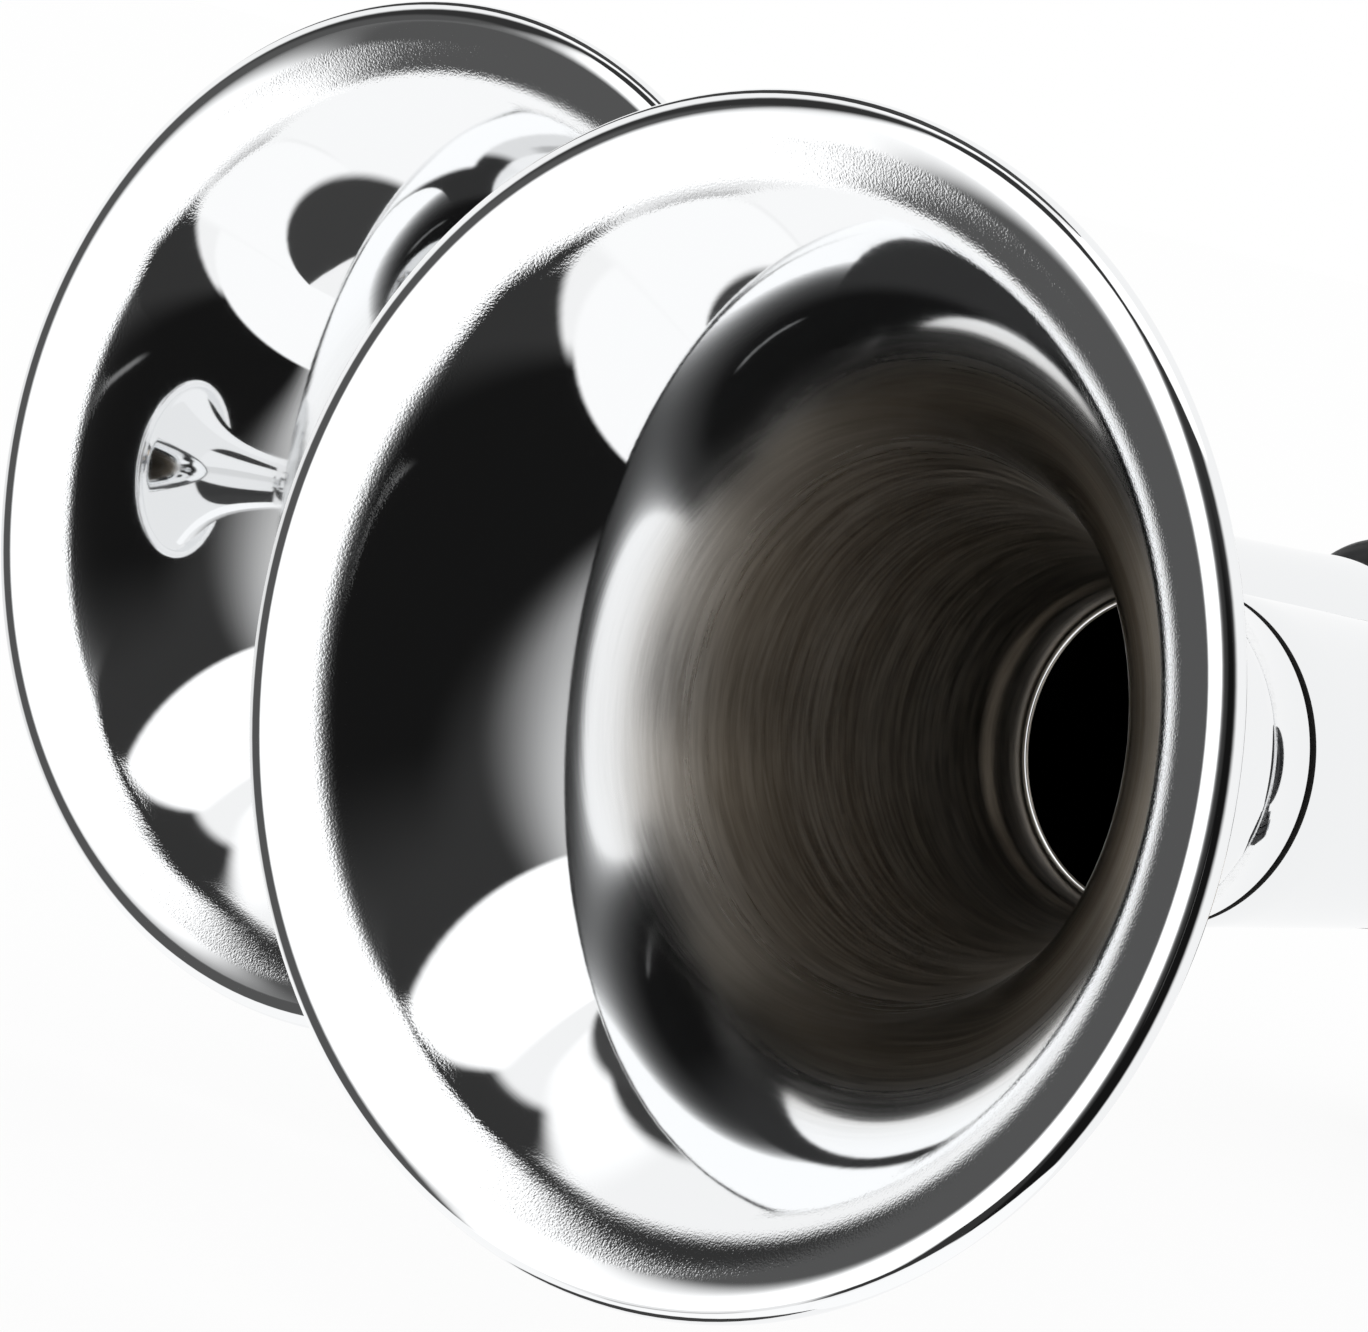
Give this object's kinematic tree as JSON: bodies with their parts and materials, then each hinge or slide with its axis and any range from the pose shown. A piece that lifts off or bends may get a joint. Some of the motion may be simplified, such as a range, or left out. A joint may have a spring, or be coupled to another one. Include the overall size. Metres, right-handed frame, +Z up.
{
  "type": "dual trumpet air horn",
  "caption": "Twin-tone air horn: polished flared trumpets of unequal length on black sound chambers with steel diaphragms, a shared mounting base and a solenoid air valve.",
  "frame": {"origin": "centre of the mounting base's underside, on the surface that it is bolted to", "axes": "-Y the way the trumpets point and the sound leaves, +Y towards the diaphragm covers and the hose barb, +X towards the long trumpet, +Z up from the mounting surface"},
  "size_m": [0.1986, 0.3567, 0.11],
  "materials": {
    "polished_chrome": "mirror polish",
    "black_casting": "satin black enamel on cast metal",
    "black_nylon": "moulded black plastic",
    "coil_moulding": "moulded black plastic",
    "rubber": "matt",
    "steel": "zinc plated",
    "brass": "turned"
  },
  "bodies": {
    "horn_frame": {"low_bell": "polished_chrome", "low_barrel": "polished_chrome", "low_union_nut": "black_nylon", "low_throat_seal": "rubber", "low_sound_chamber": "black_casting", "low_front_ring": "rubber", "low_rear_ring": "rubber", "low_rear_cover": "black_casting", "low_cover_screw_1": "steel", "low_cover_screw_2": "steel", "low_cover_screw_3": "steel", "low_cover_screw_4": "steel", "low_cover_screw_5": "steel", "low_cover_screw_6": "steel", "low_foot_bolt_1": "steel", "low_foot_bolt_2": "steel", "high_bell": "polished_chrome", "high_barrel": "polished_chrome", "high_union_nut": "black_nylon", "high_throat_seal": "rubber", "high_sound_chamber": "black_casting", "high_front_ring": "rubber", "high_rear_ring": "rubber", "high_rear_cover": "black_casting", "high_cover_screw_1": "steel", "high_cover_screw_2": "steel", "high_cover_screw_3": "steel", "high_cover_screw_4": "steel", "high_cover_screw_5": "steel", "high_cover_screw_6": "steel", "high_foot_bolt_1": "steel", "high_foot_bolt_2": "steel", "mounting_base": "black_casting", "high_port_seal": "rubber", "valve_port_seal": "rubber", "low_port_seal": "rubber", "gallery_plug": "steel", "valve_body": "brass", "guide_tube": "steel", "fixed_core": "steel", "return_spring": "steel", "coil_yoke": "steel", "solenoid_coil": "coil_moulding", "coil_washer": "steel", "coil_nut": "steel", "hose_barb": "brass", "valve_screw_1": "steel", "valve_screw_2": "steel", "terminal_1": "brass", "terminal_2": "brass"},
    "plunger": {"plunger": "steel", "plunger_seal": "rubber"},
    "low_diaphragm": {"low_diaphragm": "steel"},
    "high_diaphragm": {"high_diaphragm": "steel"}
  },
  "joints": [
    {"name": "plunger_slide", "type": "slide", "parent": "horn_frame", "child": "plunger", "axis": [0, 0, 1], "range_m": [0, 0.002], "stiffness_N_per_m": 400, "springref_m": -0.004, "deforming": ["return_spring"]},
    {"name": "low_diaphragm_flex", "type": "slide", "parent": "horn_frame", "child": "low_diaphragm", "axis": [0, 1, 0], "range_m": [0, 0.0003], "stiffness_N_per_m": 400, "springref_m": -0.0006},
    {"name": "high_diaphragm_flex", "type": "slide", "parent": "horn_frame", "child": "high_diaphragm", "axis": [0, 1, 0], "range_m": [0, 0.0003], "stiffness_N_per_m": 400, "springref_m": -0.0006}
  ]
}
